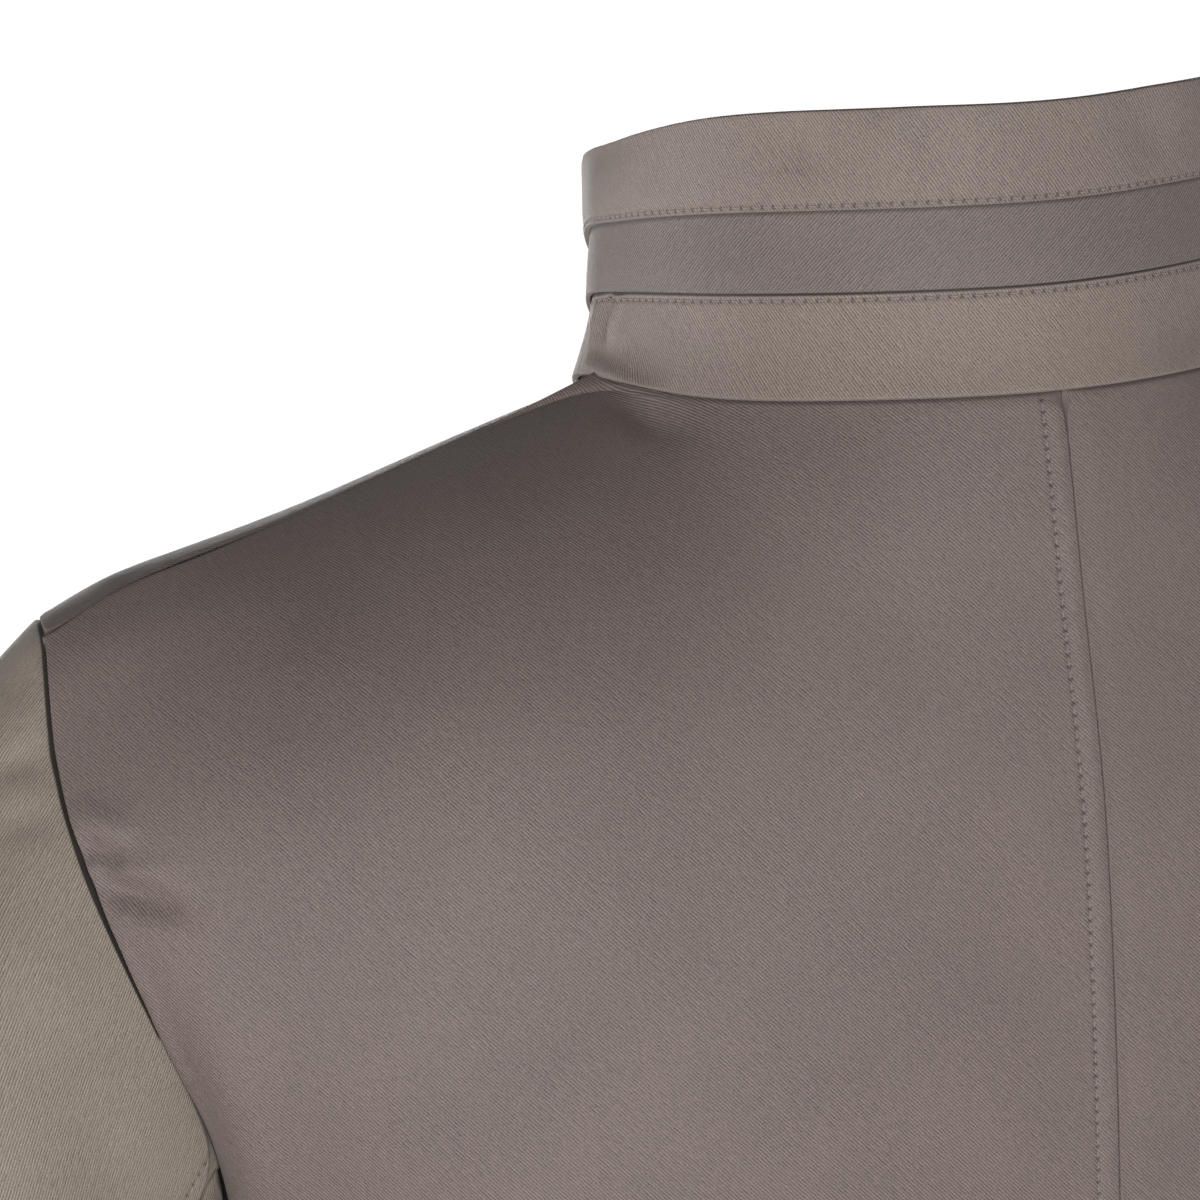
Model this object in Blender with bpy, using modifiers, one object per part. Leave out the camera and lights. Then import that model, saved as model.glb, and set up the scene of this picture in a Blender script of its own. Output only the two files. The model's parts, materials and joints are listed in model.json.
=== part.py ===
"""A fencing jacket in its worn form with nobody in it: backs, fronts, two-piece sleeves and a banded collar.

Metres, +Z up. The wearer would face -Y, with the left arm at +X. The origin is the middle of the neck opening,
level with the neck ends of the shoulder seams. Each cut piece is a loft through the sections in the tables below.
It is built as one open sheet, the outer face of the cloth, and Solidify gives it the cloth's thickness inwards.
A right piece is the left one seen in a mirror.
"""

import math
from collections import namedtuple

import bpy
import numpy as np

# Cloth
WALL = 0.0016
STRAP_WALL = 0.0014
SEAM_GAP = 0.0003
SHOULDER_GAP = 0.0005
SLEEVE_SEAM_GAP = 0.0007
ARMHOLE_GAP = 0.0005

# Colours of the satin twill on body, sleeves and collar, linear
BODY_COLOUR = (0.190, 0.155, 0.145)
SLEEVE_COLOUR = (0.215, 0.185, 0.155)
COLLAR_COLOUR = (0.235, 0.190, 0.175)
ROUGHNESS = 0.55

# Rows of the body from the hem to the underarm: the side seam, and the centre lines of back and front.
# Each row has this many steps up to the next one.
BodyRow = namedtuple("BodyRow", "name steps half_width side_z back_y back_z front_y front_z square")
BODY_ROWS = [
    BodyRow("hem", 2, 0.1720, -0.580, 0.1040, -0.586, -0.1250, -0.588, 2.30),
    BodyRow("hip", 3, 0.1640, -0.500, 0.0990, -0.502, -0.1210, -0.505, 2.30),
    BodyRow("waist", 2, 0.1430, -0.400, 0.0770, -0.398, -0.1080, -0.405, 2.25),
    BodyRow("ribs", 2, 0.1560, -0.300, 0.0895, -0.298, -0.1290, -0.300, 2.30),
]
UNDERARM_ROW = BodyRow("underarm", 2, 0.1660, -0.218, 0.0942, -0.222, -0.1400, -0.216, 2.40)
SIDE_Y = -0.004

# Rows from the underarm to the shoulder end on the armhole, at this turn round it from the shoulder tip.
YokeRow = namedtuple("YokeRow", "name steps turn back_y back_z front_y front_z sweep square dip")
YOKE_ROWS = [
    YokeRow("below the armhole's notch", 2, 155, 0.0947, -0.186, -0.1365, -0.185, 84, 2.35, 0.000),
    YokeRow("across", 2, 125, 0.0946, -0.146, -0.1270, -0.152, 72, 2.30, 0.000),
    YokeRow("shoulder blade", 2, 100, 0.0931, -0.108, -0.1140, -0.125, 64, 2.25, 0.001),
    YokeRow("yoke", 2, 76, 0.0902, -0.075, -0.1010, -0.100, 60, 2.15, 0.003),
    YokeRow("top of the back", 4, 50, 0.0824, -0.040, -0.0880, -0.075, 55, 2.05, 0.006),
]

# The armhole seam, by its turn from the shoulder tip over the back. The sleeve leaves it this far below the
# horizontal and this far towards the back, in degrees.
ArmholePoint = namedtuple("ArmholePoint", "name turn x y z fall swing")
ARMHOLE = [
    ArmholePoint("tip", 0, 0.2010, 0.0100, -0.0370, 36, 0),
    ArmholePoint("back, high", 32, 0.2047, 0.0250, -0.0588, 34, 6),
    ArmholePoint("back, middle", 60, 0.2030, 0.0355, -0.0795, 32, 10),
    ArmholePoint("back notch", 90, 0.1935, 0.0405, -0.1060, 32, 12),
    ArmholePoint("back, low", 125, 0.1755, 0.0360, -0.1460, 36, 16),
    ArmholePoint("under, back", 155, 0.1655, 0.0180, -0.1910, 38, 10),
    ArmholePoint("underarm", 180, 0.1660, -0.0040, -0.2180, 28, 0),
    ArmholePoint("under, front", 205, 0.1605, -0.0350, -0.2060, 26, -4),
    ArmholePoint("front, low", 235, 0.1520, -0.0600, -0.1650, 30, -10),
    ArmholePoint("front notch", 270, 0.1600, -0.0640, -0.1200, 32, -12),
    ArmholePoint("front, middle", 300, 0.1780, -0.0470, -0.0760, 32, -10),
    ArmholePoint("front, high", 330, 0.1915, -0.0200, -0.0420, 34, -6),
    ArmholePoint("crest", 345, 0.1970, -0.0050, -0.0350, 36, -3),
]

# The shoulder seam from the neck to the tip, and how steeply the cloth rises forwards across it.
SeamPoint = namedtuple("SeamPoint", "along x y z rise")
SHOULDER_SEAM = [
    SeamPoint(0.00, 0.0730, 0.0000, 0.0029, 0.04),
    SeamPoint(0.28, 0.1090, 0.0010, -0.0078, 0.08),
    SeamPoint(0.50, 0.1360, 0.0030, -0.0168, 0.14),
    SeamPoint(0.71, 0.1630, 0.0055, -0.0235, 0.22),
    SeamPoint(0.86, 0.1820, 0.0080, -0.0285, 0.28),
    SeamPoint(1.00, 0.2010, 0.0100, -0.0370, 0.30),
]

# Columns of a panel from its centre line to its side, closer together beside the seams. Those up to the neck's
# share end on the neckline and the others on the shoulder seam.
NECK_SHARE = 0.44
COLUMNS = [0, 0.015, 0.074, 0.147, 0.22, 0.293, 0.367, 0.44, 0.54, 0.65, 0.76, 0.85, 0.91, 0.955, 0.988, 1]
OVERLAP_COLUMNS = [-0.100, -0.045, 0.0, 0.034, 0.075, 0.120]
UNDERLAP_COLUMNS = [-0.030]
LAP_STEP = WALL + 0.0006
LAP_RAMP = (0.034, 0.120)

# From this column on, a panel is drawn over to its seams' own curves.
SEAM_REACH = 0.60

# The last row of a panel and the first of a sleeve lie this share of a step from their seam, so that the edge
# of the cloth stands square to the seam.
SEAM_ROW = 0.12

# The soft roll of the back beside the lower half of the armhole, which hides the seam from behind
ROLL_DEPTH = 0.0065
ROLL_COLUMN, ROLL_COLUMNS_WIDE = 0.93, 0.045
ROLL_ROW_Z, ROLL_HEIGHT = -0.150, 0.040

# The collar by the angle from the centre back: its seam on the body, and the heights of the bands that show
NECKLINE_RADIUS = 0.0730
NECKLINE_DROP = 0.0011
# How steeply the cloth meets the collar at the centre of the back, 1, and of the front, -1, in degrees
CENTRE_STEEPNESS = {1: 75, -1: 64}
STEEPNESS_FALL = 1.3
CollarHeights = namedtuple("CollarHeights", "angle base lower strap upper")
COLLAR = [
    CollarHeights(0, 0.0060, 0.0217, 0.0170, 0.0207),
    CollarHeights(30, 0.0058, 0.0217, 0.0170, 0.0209),
    CollarHeights(60, 0.0042, 0.0212, 0.0166, 0.0202),
    CollarHeights(90, 0.0034, 0.0178, 0.0146, 0.0169),
    CollarHeights(110, -0.0010, 0.0170, 0.0142, 0.0160),
    CollarHeights(130, -0.0140, 0.0170, 0.0140, 0.0156),
    CollarHeights(150, -0.0320, 0.0170, 0.0140, 0.0154),
    CollarHeights(180, -0.0475, 0.0170, 0.0140, 0.0154),
]
STAND_BASE, STAND_FLARE, STAND_AT_STRAP, STAND_WAIST, STAND_TOP = 0.0738, 0.0708, 0.0688, 0.0668, 0.0689
STAND_FLARE_HEIGHT, STAND_SHORT_OF_TOP = 0.0085, 0.0060
STRAP_TOP, STRAP_BOTTOM = 0.0686, 0.0707
STRAP_TOP_UNTUCKED = 0.0006
STRAP_TUCK = 0.0035
UPPER_BOTTOM, UPPER_TOP = 0.0709, 0.0707
COLLAR_STEP = 7.5
COLLAR_END = 179.75

# The strap's loose end, from the right, comes out from under the upper band and laps over its other end
STRAP_UNDER_END = 185.0
STRAP_OVER_END = -204.0
TAB_DROP_START, TAB_DROP_END = -138.0, -152.0
TAB_LIFT_START, TAB_LIFT_END = -152.0, -172.0
TAB_BELOW_UPPER = 0.0008
TAB_LIFT = STRAP_WALL + SEAM_GAP

# Sleeve rings from the biceps to the cuff: the middle of each, and half its width across and front to back
SleeveRing = namedtuple("SleeveRing", "name steps x y z half_out half_back")
SLEEVE_RINGS = [
    SleeveRing("biceps", 5, 0.2440, -0.001, -0.262, 0.0610, 0.0650),
    SleeveRing("elbow", 4, 0.2750, 0.000, -0.385, 0.0535, 0.0570),
    SleeveRing("forearm", 3, 0.2960, -0.020, -0.500, 0.0470, 0.0490),
    SleeveRing("cuff", 0, 0.3110, -0.050, -0.612, 0.0405, 0.0420),
]
SLEEVE_HEAD_STEPS = 7
HEAD_PULL, ARM_PULL = 0.85, 0.80
HIND_SEAM, FORE_SEAM = 125, 235

# Folds of the sleeve: height, depth, half-width along the arm, the turn where each is deepest, how far round it
# runs, and how much one end lies above the other
SleeveFold = namedtuple("SleeveFold", "name z depth half_width turn spread slant")
SLEEVE_FOLDS = [
    SleeveFold("inside the elbow", -0.388, 0.0045, 0.013, 285, 70, 0.010),
    SleeveFold("above the elbow", -0.345, 0.0035, 0.015, 250, 60, -0.014),
    SleeveFold("below the elbow", -0.435, 0.0030, 0.015, 300, 55, 0.018),
    SleeveFold("under the arm", -0.290, 0.0040, 0.016, 185, 55, 0.016),
]


def hermite(start, end, leave, arrive, t):
    """The point at t, from 0 to 1, on the cubic from start to end with these slopes at its ends."""
    return (
        (2 * t**3 - 3 * t**2 + 1) * start
        + (t**3 - 2 * t**2 + t) * leave
        + (3 * t**2 - 2 * t**3) * end
        + (t**3 - t**2) * arrive
    )


def slopes(knots, values):
    """The slope at each knot of a smooth curve through the values, weighted to the nearer neighbour."""
    gaps = np.diff(knots)[:, None]
    secants = np.diff(values, axis=0) / gaps
    middle = (gaps[1:] * secants[:-1] + gaps[:-1] * secants[1:]) / (gaps[1:] + gaps[:-1])
    first = 1.5 * secants[0] - 0.5 * middle[0]
    last = 1.5 * secants[-1] - 0.5 * middle[-1]
    return np.vstack([first, middle, last])


def curve_at(knots, values, at, level_ends=False):
    """The value at one place on the smooth curve through a table's values."""
    knots = np.asarray(knots, float)
    values = np.asarray(values, float)
    slope = slopes(knots, values)
    if level_ends:
        slope[0] = slope[-1] = 0
    k = int(np.clip(np.searchsorted(knots, at, side="right") - 1, 0, len(knots) - 2))
    gap = knots[k + 1] - knots[k]
    t = (at - knots[k]) / gap
    return hermite(values[k], values[k + 1], slope[k] * gap, slope[k + 1] * gap, t)


def flow(points, steps, arrival=None):
    """A smooth line of points up one column, through its key points, arriving in a direction if one is given."""
    points = np.asarray(points, float)
    knots = np.concatenate([[0], np.cumsum(np.linalg.norm(np.diff(points, axis=0), axis=1))])
    slope = slopes(knots, points)
    if arrival is not None:
        slope[-1] = arrival / np.linalg.norm(arrival)
    line = []
    for k, count in enumerate(steps):
        gap = knots[k + 1] - knots[k]
        for share in shares(count, seam_after=arrival is not None and k == len(steps) - 1):
            line.append(hermite(points[k], points[k + 1], slope[k] * gap, slope[k + 1] * gap, share))
    line.append(points[-1])
    return np.array(line)


def shares(count, seam_before=False, seam_after=False):
    """Even steps from 0 up to but not including 1, with one more close to a seam at either end."""
    even = [step / count for step in range(count)]
    before = [SEAM_ROW / count] if seam_before else []
    after = [1 - SEAM_ROW / count] if seam_after else []
    return even[:1] + before + even[1:] + after


def ease(at, start, end):
    """0 at start and 1 at end, level at both."""
    t = min(max((at - start) / (end - start), 0), 1)
    return t * t * (3 - 2 * t)


def armhole_at(turn):
    """The armhole seam's place, and the sleeve's fall and swing, at a turn round it from the shoulder tip."""
    rows = ARMHOLE[-3:] + ARMHOLE + ARMHOLE[:3]
    laps = [-360] * 3 + [0] * len(ARMHOLE) + [360] * 3
    knots = [row.turn + lap for row, lap in zip(rows, laps)]
    return curve_at(knots, [row[2:] for row in rows], turn)


def collar_at(angle):
    """The height of the collar's seam and of its three bands at an angle from the centre back."""
    angle = abs(angle)
    if angle > 180:
        angle = 360 - angle
    return curve_at([row.angle for row in COLLAR], [row[1:] for row in COLLAR], angle, level_ends=True)


def polar(radius, angle, z):
    """The point at an angle from the centre back towards the wearer's left."""
    return np.array([radius * math.sin(math.radians(angle)), radius * math.cos(math.radians(angle)), z])


def section_point(centre_y, centre_z, edge, sweep, square, dip, u):
    """The point at u on a row: a rounded arc from the centre line, where it is level, to the panel's edge."""
    most = math.sin(math.radians(sweep))
    across = math.sin(math.radians(sweep * u))
    depth = (1 - abs(across) ** square) ** (1 / square)
    least = (1 - most**square) ** (1 / square)
    y = edge[1] + (centre_y - edge[1]) * (depth - least) / (1 - least)
    inwards = dip * math.sin(math.pi * min(max(u, 0), 1)) * (1 if centre_y > 0 else -1)
    return np.array([edge[0] * across / most, y - inwards, centre_z + (edge[2] - centre_z) * u * u])


def top_point(facing, u):
    """The point at u on a panel's top edge, and the direction in which the cloth arrives there from below."""
    if u <= NECK_SHARE:
        angle = 90 * (1 - facing) + facing * 90 * u / NECK_SHARE
        point = polar(NECKLINE_RADIUS, angle, collar_at(angle)[0] - NECKLINE_DROP)
        steep = CENTRE_STEEPNESS[facing]
        level = math.degrees(math.atan(facing * SHOULDER_SEAM[0].rise))
        slope = math.radians(steep + (level - steep) * (abs(u) / NECK_SHARE) ** STEEPNESS_FALL)
        return point, np.array([0, -facing * math.cos(slope), math.sin(slope)])
    along = (u - NECK_SHARE) / (1 - NECK_SHARE)
    x, y, z, rise = curve_at([row.along for row in SHOULDER_SEAM], [row[1:] for row in SHOULDER_SEAM], along)
    return np.array([x, y, z]), np.array([0, -facing, facing * rise])


def panel_rows(facing):
    """The sections of a back, 1, or a front, -1: the centre line, edge, sweep, squareness and dip of each."""
    rows = []
    for row in BODY_ROWS + [UNDERARM_ROW]:
        centre = (row.back_y, row.back_z) if facing > 0 else (row.front_y, row.front_z)
        edge = (row.half_width, SIDE_Y, row.side_z)
        rows.append((centre, edge, 90, row.square, 0.0))
    for row in YOKE_ROWS:
        centre = (row.back_y, row.back_z) if facing > 0 else (row.front_y, row.front_z)
        edge = armhole_at(facing * row.turn % 360)[:3]
        rows.append((centre, edge, row.sweep, row.square, row.dip))
    return rows


def armhole_turns():
    """The turns of the armhole's points from the underarm to the shoulder tip, shared by panel and sleeve."""
    keys = [180] + [row.turn for row in YOKE_ROWS] + [0]
    steps = [UNDERARM_ROW.steps] + [row.steps for row in YOKE_ROWS]
    turns = []
    for start, end, count in zip(keys, keys[1:], steps):
        turns += [start + (end - start) * share for share in shares(count, seam_after=end == 0)]
    return turns + [0]


def panel_grid(facing, columns):
    """Points of a left panel, row by row from the hem, each from the centre to the side."""
    rows = panel_rows(facing)
    steps = [row.steps for row in BODY_ROWS + [UNDERARM_ROW] + YOKE_ROWS]
    lines = []
    for u in columns:
        top, arrival = top_point(facing, u)
        keys = [section_point(*centre, *shape, u) for centre, *shape in rows]
        lines.append(flow(keys + [top], steps, arrival))
    side = [(row.half_width, SIDE_Y, row.side_z) for row in BODY_ROWS + [UNDERARM_ROW]]
    side_seam = flow(side, [row.steps for row in BODY_ROWS])
    armhole = [armhole_at(facing * turn % 360)[:3] for turn in armhole_turns()]
    to_seam = np.vstack([side_seam[:-1], armhole]) - lines[-1]
    lines = [line + ease(u, SEAM_REACH, 1) * to_seam for u, line in zip(columns, lines)]
    return np.stack(lines, axis=1)


def outward(grid):
    """The direction across the cloth at each point of a grid, outwards on the back and inwards on the front."""
    along = np.gradient(grid, axis=1)
    up = np.gradient(grid, axis=0)
    normal = np.cross(up, along)
    return normal / np.linalg.norm(normal, axis=2, keepdims=True)


def with_roll(grid, columns):
    """The back with its soft roll beside the armhole."""
    normal = outward(grid)
    across = np.exp(-(((np.array(columns) - ROLL_COLUMN) / ROLL_COLUMNS_WIDE) ** 2))
    across[-1] = 0
    height = np.exp(-(((grid[:, :, 2] - ROLL_ROW_Z) / ROLL_HEIGHT) ** 2))
    return grid + normal * (ROLL_DEPTH * across[None, :] * height)[:, :, None]


def with_lap(grid, columns):
    """The overlapping front, stepped out level so that it clears the other front under it by a gap."""
    lift = np.array([LAP_STEP * (1 - ease(u, *LAP_RAMP)) for u in columns])
    facing = np.abs(outward(grid)[:, :, 1])
    grid = grid.copy()
    grid[:, :, 1] -= lift[None, :] / facing
    return grid


def trimmed(grid, first=0.0, last=0.0, bottom=0.0, top=0.0):
    """The grid with its edge columns and rows drawn in by these lengths, for the gaps at its seams."""
    grid = grid.copy()
    for edge, inner, length in ((0, 1, first), (-1, -2, last)):
        inwards = grid[:, inner] - grid[:, edge]
        grid[:, edge] += length * inwards / np.linalg.norm(inwards, axis=1, keepdims=True)
    for edge, inner, length in ((0, 1, bottom), (-1, -2, top)):
        inwards = grid[inner] - grid[edge]
        grid[edge] += length * inwards / np.linalg.norm(inwards, axis=1, keepdims=True)
    return grid


def sleeve_line(turn):
    """One line of points down the left sleeve, from the armhole to the cuff."""
    x, y, z, fall, swing = armhole_at(turn % 360)
    fall, swing = math.radians(fall), math.radians(swing)
    start = np.array([x, y, z])
    leave = np.array([math.cos(fall) * math.cos(swing), math.cos(fall) * math.sin(swing), -math.sin(fall)])
    middles = np.array([[ring.x, ring.y, ring.z] for ring in SLEEVE_RINGS])
    axes = slopes(middles[:, 2], middles)
    points = []
    for ring, middle, axis in zip(SLEEVE_RINGS, middles, axes):
        down = -axis / np.linalg.norm(axis)
        out = np.array([1.0, 0, 0]) - down[0] * down
        out /= np.linalg.norm(out)
        back = np.cross(out, down)
        angle = math.radians(turn)
        across = ring.half_out * math.cos(angle) * out + ring.half_back * math.sin(angle) * back
        points.append(middle + across)
    arm = -axes[0] / np.linalg.norm(axes[0])
    reach = np.linalg.norm(points[0] - start)
    head = [
        hermite(start, points[0], leave * reach * HEAD_PULL, arm * reach * ARM_PULL, share)
        for share in shares(SLEEVE_HEAD_STEPS, seam_before=True)
    ]
    rest = flow(points, [ring.steps for ring in SLEEVE_RINGS[:-1]])
    return np.vstack([head, rest])


def with_sleeve_folds(lines, turns):
    """The sleeve's points, each drawn towards its ring's middle where a fold passes."""
    folded = lines.copy()
    middle = lines.mean(axis=0)
    for column, turn in enumerate(turns):
        for fold in SLEEVE_FOLDS:
            away = (turn - fold.turn + 180) % 360 - 180
            if abs(away) > fold.spread:
                continue
            reach = math.cos(math.radians(90 * away / fold.spread)) ** 2
            height = fold.z + fold.slant * away / fold.spread
            near = np.exp(-(((lines[column, :, 2] - height) / fold.half_width) ** 2))
            inwards = middle - lines[column]
            inwards /= np.linalg.norm(inwards, axis=1, keepdims=True)
            folded[column] += inwards * (fold.depth * reach * near)[:, None]
    return folded


def sleeve_grid(start, end):
    """Points of one sleeve piece between two seams, row by row from the armhole, turning over the back."""
    back_turns = sorted(armhole_turns())
    every = back_turns + [360 - turn for turn in back_turns[-2:0:-1]]
    lines = with_sleeve_folds(np.array([sleeve_line(turn) for turn in every]), every)
    by_turn = dict(zip(every, lines))
    turns = [turn for turn in every if start <= turn <= end]
    if start > end:
        turns = [turn for turn in every if turn >= start] + [turn for turn in every if turn <= end]
    return np.stack([by_turn[turn] for turn in turns], axis=1)


def band_grid(angles, rows):
    """A band of the collar, bottom row first. Each row gives its radius and height by the angle."""
    return np.array([[polar(radius(angle), angle, height(angle)) for angle in angles] for radius, height in rows])


def angles_between(start, end, step):
    count = round((end - start) / step)
    return [start + (end - start) * k / count for k in range(count + 1)]


def strap_low(angle):
    """The height of the strap's lower edge, which is the lower band's top as it shows."""
    return sum(collar_at(angle)[:2])


def upper_low(angle):
    """The height of the upper band's lower edge."""
    return sum(collar_at(angle)[:3])


def collar_top(angle):
    return sum(collar_at(angle))


def stand_rows():
    """The inner stand, whose lowest part shows as the collar's lower band."""
    return [
        (lambda angle: STAND_BASE, lambda angle: collar_at(angle)[0]),
        (lambda angle: STAND_FLARE, lambda angle: collar_at(angle)[0] + STAND_FLARE_HEIGHT),
        (lambda angle: STAND_AT_STRAP, strap_low),
        (lambda angle: STAND_WAIST, lambda angle: upper_low(angle) + STRAP_TUCK),
        (lambda angle: STAND_TOP, lambda angle: collar_top(angle) - STAND_SHORT_OF_TOP),
    ]


def strap_rows():
    """The strap, leaning out to its lower edge, and lifted over its own other end in front."""

    def lift(angle):
        return TAB_LIFT * ease(angle, TAB_LIFT_START, TAB_LIFT_END)

    def untucked(angle):
        return ease(angle, TAB_DROP_START, TAB_DROP_END)

    return [
        (lambda angle: STRAP_BOTTOM + lift(angle), strap_low),
        (
            lambda angle: STRAP_TOP + STRAP_TOP_UNTUCKED * untucked(angle) + lift(angle),
            lambda angle: upper_low(angle) + STRAP_TUCK - (STRAP_TUCK + TAB_BELOW_UPPER) * untucked(angle),
        ),
    ]


def upper_rows():
    """The upper band, from its lower edge over the strap to the top edge of the collar."""
    return [
        (lambda angle: UPPER_BOTTOM, upper_low),
        (lambda angle: UPPER_TOP, collar_top),
    ]


def cloth_material(name, colour):
    material = bpy.data.materials.new(name)
    material.use_nodes = True
    shader = material.node_tree.nodes["Principled BSDF"]
    shader.inputs["Base Color"].default_value = (*colour, 1)
    shader.inputs["Roughness"].default_value = ROUGHNESS
    shader.inputs["Metallic"].default_value = 0.0
    return material


def cloth_piece(collection, name, grid, wall, colour, mirrored=False):
    """One cut piece: the grid as a sheet whose faces point out of the garment, thickened inwards."""
    rows, columns = grid.shape[:2]
    points = grid.reshape(-1, 3).copy()
    faces = []
    for row in range(rows - 1):
        for column in range(columns - 1):
            corner = row * columns + column
            faces.append((corner, corner + columns, corner + columns + 1, corner + 1))
    if mirrored:
        points[:, 0] *= -1
        faces = [face[::-1] for face in faces]
    mesh = bpy.data.meshes.new(name)
    mesh.from_pydata(points.tolist(), [], faces)
    mesh.shade_smooth()
    piece = bpy.data.objects.new(name, mesh)
    collection.objects.link(piece)
    mesh.materials.append(cloth_material(name + "_cloth", colour))
    thickness = piece.modifiers.new("cloth thickness", "SOLIDIFY")
    thickness.thickness = wall
    thickness.offset = -1
    return piece


def build_panels(collection):
    """Both halves of the back, and the fronts, the right one over the left."""
    half_gap = SEAM_GAP / 2
    back = with_roll(panel_grid(1, COLUMNS), COLUMNS)
    back = trimmed(back, first=half_gap, last=half_gap, top=SHOULDER_GAP / 2)
    cloth_piece(collection, "back_left", back, WALL, BODY_COLOUR)
    cloth_piece(collection, "back_right", back, WALL, BODY_COLOUR, mirrored=True)
    under = UNDERLAP_COLUMNS + COLUMNS
    left = trimmed(panel_grid(-1, under), last=half_gap, top=SHOULDER_GAP / 2)
    cloth_piece(collection, "front_left", left[:, ::-1], WALL, BODY_COLOUR)
    over = OVERLAP_COLUMNS + COLUMNS[3:]
    right = trimmed(with_lap(panel_grid(-1, over), over), last=half_gap, top=SHOULDER_GAP / 2)
    cloth_piece(collection, "front_right", right[:, ::-1], WALL, BODY_COLOUR, mirrored=True)


def build_sleeves(collection):
    """Upper sleeves from the fore-arm seam over the shoulder to the hind-arm seam, and under sleeves below."""
    half_gap = SLEEVE_SEAM_GAP / 2
    for part, start, end in (("upper", FORE_SEAM, HIND_SEAM), ("under", HIND_SEAM, FORE_SEAM)):
        grid = trimmed(sleeve_grid(start, end), first=half_gap, last=half_gap, bottom=ARMHOLE_GAP)
        for side in ("left", "right"):
            cloth_piece(collection, f"sleeve_{side}_{part}", grid, WALL, SLEEVE_COLOUR, side == "right")


def build_collar(collection):
    """The stand and the two bands that lie on it, each a strip that meets or laps in front."""
    ring = angles_between(-COLLAR_END, COLLAR_END, COLLAR_STEP)
    cloth_piece(collection, "collar_lower", band_grid(ring, stand_rows()), WALL, COLLAR_COLOUR)
    strap = angles_between(STRAP_OVER_END, STRAP_UNDER_END, COLLAR_STEP)
    cloth_piece(collection, "collar_strap", band_grid(strap, strap_rows()), STRAP_WALL, COLLAR_COLOUR)
    cloth_piece(collection, "collar_upper", band_grid(ring, upper_rows()), WALL, COLLAR_COLOUR)


def main():
    for old in list(bpy.data.objects):
        bpy.data.objects.remove(old, do_unlink=True)
    collection = bpy.data.collections.new("fencing_jacket")
    bpy.context.scene.collection.children.link(collection)
    build_panels(collection)
    build_sleeves(collection)
    build_collar(collection)


main()
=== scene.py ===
# %% [markdown]
# # A fencing jacket, from behind
#
# This lesson dresses a plain CAD jacket so that it looks sewn from a taupe satin twill. The CAD solids
# already have the jacket's true shape: two backs, two fronts, two-piece sleeves and a collar of three bands.
# What they lack is everything that makes cloth look like cloth: soft seams, creases, stitches, a weave and
# a sheen. The frame is loaded first, because every piece that follows is made from a solid in it.

# %% Load the frame
import math

import bpy
import numpy as np
from mathutils import Matrix, Vector
from mathutils.bvhtree import BVHTree
from mathutils.kdtree import KDTree
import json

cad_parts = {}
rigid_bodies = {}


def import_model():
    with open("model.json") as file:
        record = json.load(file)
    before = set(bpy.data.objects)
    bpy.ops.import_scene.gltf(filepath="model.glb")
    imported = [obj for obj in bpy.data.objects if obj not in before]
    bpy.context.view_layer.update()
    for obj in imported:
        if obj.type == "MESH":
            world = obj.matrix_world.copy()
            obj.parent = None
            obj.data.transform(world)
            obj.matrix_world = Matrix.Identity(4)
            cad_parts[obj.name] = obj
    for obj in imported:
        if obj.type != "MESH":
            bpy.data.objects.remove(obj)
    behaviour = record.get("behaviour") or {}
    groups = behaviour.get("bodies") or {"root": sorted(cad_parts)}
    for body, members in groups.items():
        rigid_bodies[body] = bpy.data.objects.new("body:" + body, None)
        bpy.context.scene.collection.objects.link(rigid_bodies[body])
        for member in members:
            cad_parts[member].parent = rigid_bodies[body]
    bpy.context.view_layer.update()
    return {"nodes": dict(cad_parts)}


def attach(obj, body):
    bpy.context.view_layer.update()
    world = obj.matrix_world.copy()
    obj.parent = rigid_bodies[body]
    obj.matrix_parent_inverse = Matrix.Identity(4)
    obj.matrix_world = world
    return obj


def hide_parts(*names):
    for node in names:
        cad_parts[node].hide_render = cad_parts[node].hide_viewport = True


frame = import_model()
MM = 0.001
print("cut pieces to dress:", len(frame["nodes"]))

# %% [markdown]
# ## Camera
#
# The photograph is a close-up of the upper back, taken from a little to the wearer's left and a little above.
# A long lens flattens it, so the camera stands 2 m away and sees a field only 246 mm wide. It is tipped by
# 1.5 degrees, as the jacket leans in the picture. The camera comes before the pieces, since it decides how
# fine each of them has to be.

# %% Place the camera
AIM = Vector((0.0920, 0.0442, -0.0341))
YAW, RISE, TIP = math.radians(22), math.radians(12), math.radians(1.5)
CAMERA_DISTANCE, FIELD_WIDTH, SENSOR_MM = 2.0, 0.246, 36

to_camera = Vector((math.sin(YAW) * math.cos(RISE), math.cos(YAW) * math.cos(RISE), math.sin(RISE)))
right = Vector((0, 0, 1)).cross(to_camera).normalized()
up = to_camera.cross(right)
bpy.ops.object.camera_add(location=AIM + CAMERA_DISTANCE * to_camera)
camera = bpy.context.object
turned = Matrix((right, up, to_camera)).transposed() @ Matrix.Rotation(-TIP, 3, "Z")
camera.rotation_euler = turned.to_euler()
camera.data.sensor_width = SENSOR_MM
camera.data.lens = SENSOR_MM * CAMERA_DISTANCE / FIELD_WIDTH
camera.data.clip_start, camera.data.clip_end = 0.1, 50
bpy.context.scene.camera = camera
print("lens", round(camera.data.lens), "mm")

# %% [markdown]
# ## Light and floor
#
# The jacket was photographed on pure white, with a broad soft light beside the camera and little from above:
# the top of the shoulder is darker than the back below it. A big area light stands low beside the camera,
# and a faint one fills its other side. A third comes from the wearer's left and shapes the sleeve, and a
# fourth lights the fronts. The floor and the surroundings glow dimly, and the camera sees them as white.

# %% Light the jacket
FLOOR_HEIGHT, FLOOR_SIZE = -0.85, 40
WHITE_SEEN = 1.05
SKY_GLOW, FLOOR_GLOW = 0.16, 0.55


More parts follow.
